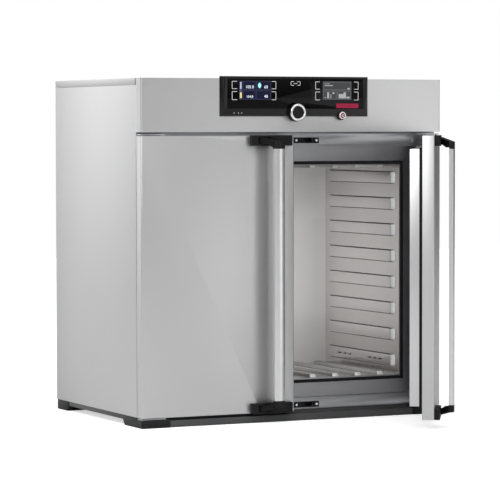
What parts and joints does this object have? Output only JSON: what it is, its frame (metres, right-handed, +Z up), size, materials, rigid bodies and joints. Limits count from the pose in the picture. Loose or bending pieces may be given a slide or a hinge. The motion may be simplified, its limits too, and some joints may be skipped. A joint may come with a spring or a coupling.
{
  "type": "laboratory drying oven",
  "caption": "Large two-door laboratory drying oven: insulated steel cabinet with a ribbed chamber, locking bar handles and a front control unit with displays and knob.",
  "frame": {"origin": "on the floor at the cabinet's mid width, in the plane of the face frame that the two doors close against; it lies on the underside of the front base rail", "axes": "+X to the right as one faces the doors, +Y to the back, +Z up; the doors close at y from -0.046 to -0.003"},
  "size_m": [1.2301, 1.317, 1.263],
  "materials": {
    "casing_steel": "fine-textured stainless sheet, satin grey",
    "back_sheet": "plain galvanised sheet",
    "frame_steel": "brushed stainless sheet",
    "chamber_steel": "brushed stainless lining, slightly warm",
    "plug_steel": "brushed stainless sheet",
    "base_paint": "dark grey powder coat",
    "black_moulding": "fine-grained black moulding",
    "seal_rubber": "black silicone",
    "handle_aluminium": "satin anodised",
    "screw_steel": "bright steel",
    "control_glass": "back-painted black glass",
    "display_face": "display behind glass",
    "board_green": "circuit board",
    "part_grey": "plain component housings",
    "ring_metal": "bright satin metal",
    "heater_foil": "flat heating plate",
    "mineral_wool": "mineral wool slab"
  },
  "bodies": {
    "cabinet": {"side_panel_left": "casing_steel", "side_panel_right": "casing_steel", "top_cover": "casing_steel", "header_fascia": "casing_steel", "rear_panel": "back_sheet", "bottom_panel": "back_sheet", "exhaust_tube": "back_sheet", "front_frame_outer": "frame_steel", "front_frame_inner": "frame_steel", "hinge_brackets": "frame_steel", "chamber_wall_left": "chamber_steel", "chamber_wall_right": "chamber_steel", "chamber_floor": "chamber_steel", "chamber_ceiling": "chamber_steel", "air_baffle": "chamber_steel", "chamber_back_wall": "chamber_steel", "base_side_rails": "base_paint", "base_cross_rails": "base_paint", "front_feet": "black_moulding", "rear_feet": "black_moulding", "strike_plates": "black_moulding", "control_housing": "black_moulding", "mains_gland": "black_moulding", "mouth_seal": "seal_rubber", "strike_screws": "screw_steel", "rear_screws": "screw_steel", "temperature_sensors": "screw_steel", "control_glass": "control_glass", "display_modules": "display_face", "control_board": "board_green", "encoder": "part_grey", "power_switch": "part_grey", "flap_actuator": "part_grey", "fan_motor": "part_grey", "heater_plates": "heater_foil", "insulation_slabs": "mineral_wool", "insulation_back": "mineral_wool"},
    "fan": {"fan_shaft": "screw_steel", "fan_wheel": "chamber_steel"},
    "air_valve": {"air_flap": "screw_steel"},
    "knob": {"knob_core": "black_moulding", "knob_ring": "ring_metal"},
    "knob_push": {"knob_button": "black_moulding"},
    "power_push": {"power_button": "ring_metal"},
    "left_door": {"left_door_shell": "casing_steel", "left_door_core": "mineral_wool", "left_door_plug": "plug_steel", "left_door_gasket": "seal_rubber", "left_door_bushes": "screw_steel", "left_handle_brackets": "black_moulding"},
    "left_lever": {"left_handle_bar": "handle_aluminium", "left_handle_arms": "black_moulding"},
    "right_door": {"right_door_shell": "casing_steel", "right_door_core": "mineral_wool", "right_door_plug": "plug_steel", "right_door_gasket": "seal_rubber", "right_door_bushes": "screw_steel", "right_handle_brackets": "black_moulding"},
    "right_lever": {"right_handle_bar": "handle_aluminium", "right_handle_arms": "black_moulding"}
  },
  "joints": [
    {"name": "left_door_hinge", "type": "hinge", "parent": "cabinet", "child": "left_door", "pos_m": [-0.602, -0.031, 0.542], "axis": [0, 0, -1], "range_deg": [0, 170]},
    {"name": "right_door_hinge", "type": "hinge", "parent": "cabinet", "child": "right_door", "pos_m": [0.602, -0.031, 0.542], "axis": [0, 0, 1], "range_deg": [-58.4, 111.6]},
    {"name": "left_handle_turn", "type": "hinge", "parent": "left_door", "child": "left_lever", "pos_m": [-0.141, -0.056, 0.542], "axis": [0, 0, -1], "range_deg": [0, 35]},
    {"name": "right_handle_turn", "type": "hinge", "parent": "right_door", "child": "right_lever", "pos_m": [0.38174, -0.43675, 0.542], "axis": [0, 0, 1], "range_deg": [0, 35]},
    {"name": "knob_turn", "type": "hinge", "parent": "cabinet", "child": "knob", "pos_m": [0, -0.0605, 1.132], "axis": [0, 1, 0], "continuous": true},
    {"name": "knob_press", "type": "slide", "parent": "knob", "child": "knob_push", "axis": [0, 1, 0], "range_m": [0, 0.0015], "stiffness_N_per_m": 600},
    {"name": "power_press", "type": "slide", "parent": "cabinet", "child": "power_push", "axis": [0, 1, 0], "range_m": [0, 0.0015], "stiffness_N_per_m": 600},
    {"name": "fan_spin", "type": "hinge", "parent": "cabinet", "child": "fan", "pos_m": [0, 0.66, 0.541], "axis": [0, 1, 0], "continuous": true},
    {"name": "air_valve_turn", "type": "hinge", "parent": "cabinet", "child": "air_valve", "pos_m": [-0.32, 0.7414, 0.86], "axis": [0, 0, 1], "range_deg": [0, 90]}
  ]
}
